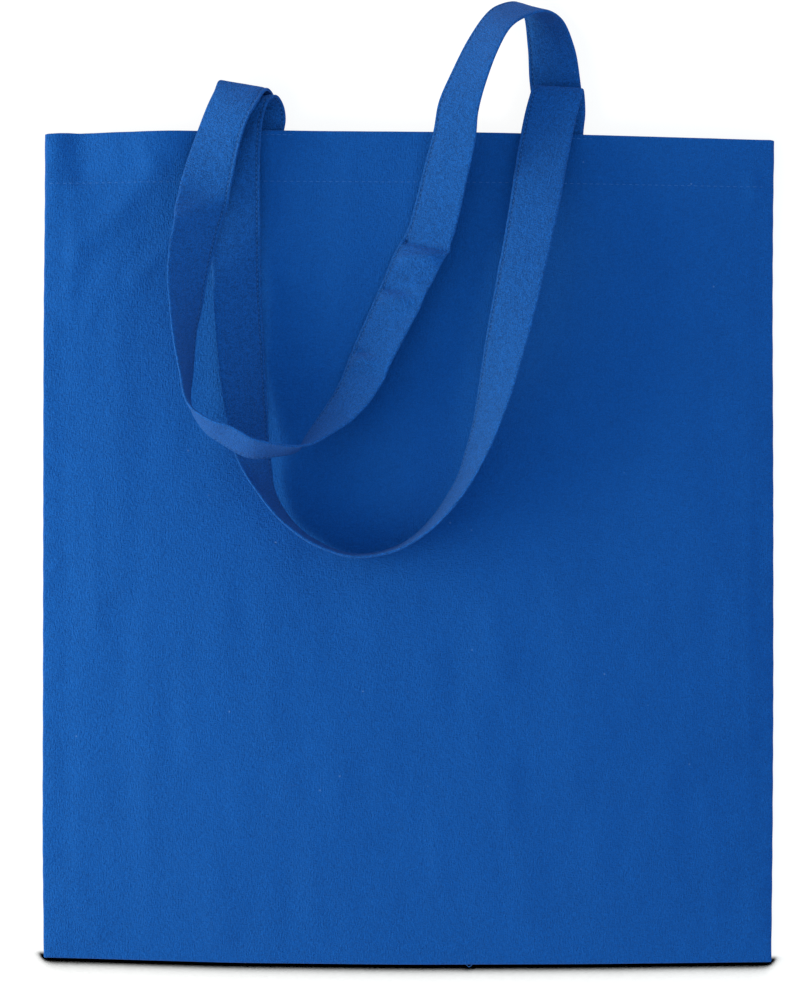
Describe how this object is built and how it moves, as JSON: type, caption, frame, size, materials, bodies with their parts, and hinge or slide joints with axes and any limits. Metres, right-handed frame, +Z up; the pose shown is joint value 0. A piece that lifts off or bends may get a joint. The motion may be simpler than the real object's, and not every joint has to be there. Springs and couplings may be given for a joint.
{
  "type": "cotton shopping bag",
  "caption": "Flat woven cotton tote for shopping, lying on its back panel, with a hemmed open mouth and long tape handles looped over the front panel.",
  "frame": {"origin": "middle of the back panel's underside, on the surface that the bag lies on", "axes": "+Z up out of the front panel, +Y from the bottom fold to the mouth, +X across the bag, to the right when it is seen from the front"},
  "size_m": [0.37, 0.4869, 0.0623],
  "materials": {
    "bag_body": "plain-woven cotton, royal blue, matt",
    "front_handle": "folded and stitched tape of the same blue cotton, matt",
    "back_handle": "folded and stitched tape of the same blue cotton, matt"
  },
  "bodies": {
    "root": {"bag_body": "bag_body", "front_handle": "front_handle", "back_handle": "back_handle"}
  },
  "joints": []
}
